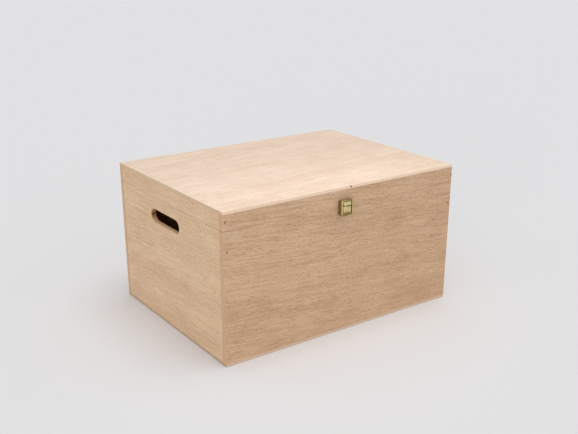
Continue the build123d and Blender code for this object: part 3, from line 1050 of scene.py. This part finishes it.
class TOYBOX_OT_hinges(bpy.types.Operator):
    """Finish the leaves of the two butt hinges and model their pins"""

    bl_idname = "toy_box.hinges"
    bl_label = "Finish Hinges"

    def execute(self, context):
        finish = hinge_brass()
        low, high = corners("hinge_left_pin")
        pin = rod("pin", (0, 0, 0), (high.z - low.z) / 2, high.x - low.x, X)
        ease(pin, HINGE_PIN_EASE, segments=3)
        for side in ("left", "right"):
            paint(finish, f"hinge_{side}_box_leaf", f"hinge_{side}_lid_leaf")
            low, high = corners(f"hinge_{side}_pin")
            piece = copy_to(pin, f"hinge_pin_{side}", (low + high) / 2)
            seat(piece, "box", "brass", finish, f"hinge_{side}_pin")
        bpy.data.objects.remove(pin)
        return {"FINISHED"}


def slotted_screw(low, high, slot_width):
    """A countersunk screw with a slot across its head, at X and Z 0, as long as the box of a screw."""
    radius = (high.x - low.x) / 2
    head_depth, slot_depth = radius * 0.5, radius * 0.35
    shank_share, point_share = 0.55, 0.3
    half_slot = slot_width / 2
    screw = rod("screw", (0, high.y - head_depth / 2, 0), radius, head_depth, Y)
    pick(screw, "faces", lambda face, at: face.normal.y < -0.9)
    bpy.ops.transform.resize(value=(shank_share, 1, shank_share))
    bpy.ops.mesh.extrude_region_move(TRANSFORM_OT_translate={"value": (0, low.y - high.y + head_depth, 0)})
    bpy.ops.transform.resize(value=(point_share, 1, point_share))
    leave()
    carve(screw, (-radius - MM, high.y - slot_depth, -half_slot), (radius + MM, high.y + MM, half_slot))
    ease(screw, SCREW_EASE)
    return screw


class TOYBOX_OT_screws(bpy.types.Operator):
    """Model the slotted screws of the hinges, each driven home at its own angle"""

    bl_idname = "toy_box.screws"
    bl_label = "Model Screws"

    def execute(self, context):
        slot_width = context.scene.toy_box_brass.screw_slot
        finish = screw_brass()
        screw = slotted_screw(*loose_boxes(frame["nodes"]["hinge_box_screws"])[0], slot_width)
        drive(screw, "hinge_box_screws", "box", finish, first_turn=0.2, next_turn=1.1)
        drive(screw, "hinge_lid_screws", "lid", finish, first_turn=0.6, next_turn=1.1)
        bpy.data.objects.remove(screw)
        return {"FINISHED"}


# Stage

# Size of the floor, and where the lamps stand and aim and how wide they are, in metres and radians
FLOOR_SIZE = 60
BOX_MIDDLE = (0, 0, 0.1)
SKY_PLACE = (0.35, -0.3, 2.2)
SKY_SPREAD = math.radians(40)
KEY_PLACE = (-0.04, -0.15, 0.365)
KEY_AIM = (-0.04, -0.15, 0)
KEY_LENGTH, KEY_WIDTH = 0.40, 0.08
FILL_PLACE = (-1.3, -1.2, 0.42)
FILL_SPREAD = math.radians(35)


def set_world(scene, colour, ambient):
    """Even light all round; the eye and mirrors see the backdrop's colour."""
    world = bpy.data.worlds.new("studio")
    scene.world = world
    world.use_nodes = True
    studio = Nodes(world.node_tree)
    studio.tree.nodes.clear()
    lit = studio.node("ShaderNodeBackground", sockets={"Color": opaque(WHITE), "Strength": ambient})
    seen = studio.node("ShaderNodeBackground", sockets={"Color": opaque(colour)})
    eye, gloss, glass = (
        studio.node("ShaderNodeLightPath", output=f"Is {ray} Ray")
        for ray in ("Camera", "Glossy", "Transmission"))
    shown = eye.largest(gloss).largest(glass)
    choice = studio.node("ShaderNodeMixShader", sockets={0: shown, 1: lit, 2: seen})
    studio.node("ShaderNodeOutputWorld", sockets={"Surface": choice})


def add_lamp(name, kind, place, aim, strength):
    """A lamp at a place that faces a point, and that the camera doesn't see."""
    clear_selection()
    bpy.ops.object.light_add(type=kind, location=place)
    lamp = bpy.context.object
    lamp.name = name
    lamp.data.energy = strength
    lamp.rotation_euler = (Vector(aim) - Vector(place)).to_track_quat("-Z", "Y").to_euler()
    lamp.visible_camera = False
    return lamp.data


def add_camera(scene, stage):
    """A camera at the place, angle and focal length of the picture."""
    clear_selection()
    turn = (math.pi / 2 - stage.camera_elevation, 0, stage.camera_azimuth)
    bpy.ops.object.camera_add(location=stage.camera_place, rotation=turn)
    camera = bpy.context.object
    camera.name = "camera"
    camera.data.sensor_fit = "HORIZONTAL"
    camera.data.lens = stage.focal_pixels / IMAGE_WIDTH * camera.data.sensor_width
    camera.data.shift_y = stage.centre_drop / IMAGE_WIDTH
    scene.camera = camera


class TOYBOX_OT_stage(bpy.types.Operator):
    """Set up the floor, the soft light and the camera"""

    bl_idname = "toy_box.stage"
    bl_label = "Set Stage"

    def execute(self, context):
        stage = context.scene.toy_box_stage
        clear_selection()
        bpy.ops.mesh.primitive_plane_add(size=FLOOR_SIZE, location=(0, 0, 0))
        floor = context.object
        floor.name = "floor"
        paper = Finish("floor_paper")
        floor.data.materials.append(paper.surface(
            base_color=opaque(stage.floor_colour), roughness=1.0, specular_ior_level=0.0))

        set_world(context.scene, stage.backdrop_colour, stage.ambient)
        sky = add_lamp("sky_lamp", "SUN", SKY_PLACE, BOX_MIDDLE, stage.sky)
        sky.angle = SKY_SPREAD
        key = add_lamp("key_lamp", "AREA", KEY_PLACE, KEY_AIM, stage.key)
        key.shape = "RECTANGLE"
        key.size = KEY_LENGTH
        key.size_y = KEY_WIDTH
        fill = add_lamp("fill_lamp", "SUN", FILL_PLACE, BOX_MIDDLE, stage.fill)
        fill.angle = FILL_SPREAD
        add_camera(context.scene, stage)
        context.scene.view_settings.view_transform = "Standard"
        return {"FINISHED"}


# Panel and registration

class TOYBOX_PT_panel(bpy.types.Panel):
    """The steps that dress the toy box, in order"""

    bl_label = "Toy Box"
    bl_idname = "TOYBOX_PT_panel"
    bl_space_type = "VIEW_3D"
    bl_region_type = "UI"
    bl_category = "Toy Box"

    def draw(self, context):
        """List the steps as buttons, and under them the colours and sizes."""
        for step in STEPS:
            self.layout.operator(step.bl_idname)
        for group in (context.scene.toy_box_wood, context.scene.toy_box_brass, context.scene.toy_box_stage):
            box = self.layout.box()
            for name in group.__annotations__:
                box.prop(group, name)


STEPS = (
    TOYBOX_OT_walls, TOYBOX_OT_panels, TOYBOX_OT_brads, TOYBOX_OT_hasp, TOYBOX_OT_plates,
    TOYBOX_OT_hinges, TOYBOX_OT_screws, TOYBOX_OT_stage,
)
CLASSES = (ToyBoxWood, ToyBoxBrass, ToyBoxStage, *STEPS, TOYBOX_PT_panel)


def register():
    """Add the classes, and the three groups of properties to the scene."""
    for item in CLASSES:
        bpy.utils.register_class(item)
    bpy.types.Scene.toy_box_wood = bpy.props.PointerProperty(type=ToyBoxWood)
    bpy.types.Scene.toy_box_brass = bpy.props.PointerProperty(type=ToyBoxBrass)
    bpy.types.Scene.toy_box_stage = bpy.props.PointerProperty(type=ToyBoxStage)


def unregister():
    """Take away what register added."""
    del bpy.types.Scene.toy_box_stage
    del bpy.types.Scene.toy_box_brass
    del bpy.types.Scene.toy_box_wood
    for item in reversed(CLASSES):
        bpy.utils.unregister_class(item)


def main():
    register()
    bpy.ops.toy_box.walls()
    bpy.ops.toy_box.panels()
    bpy.ops.toy_box.brads()
    bpy.ops.toy_box.hasp()
    bpy.ops.toy_box.plates()
    bpy.ops.toy_box.hinges()
    bpy.ops.toy_box.screws()
    bpy.ops.toy_box.stage()


if __name__ == "__main__":
    main()
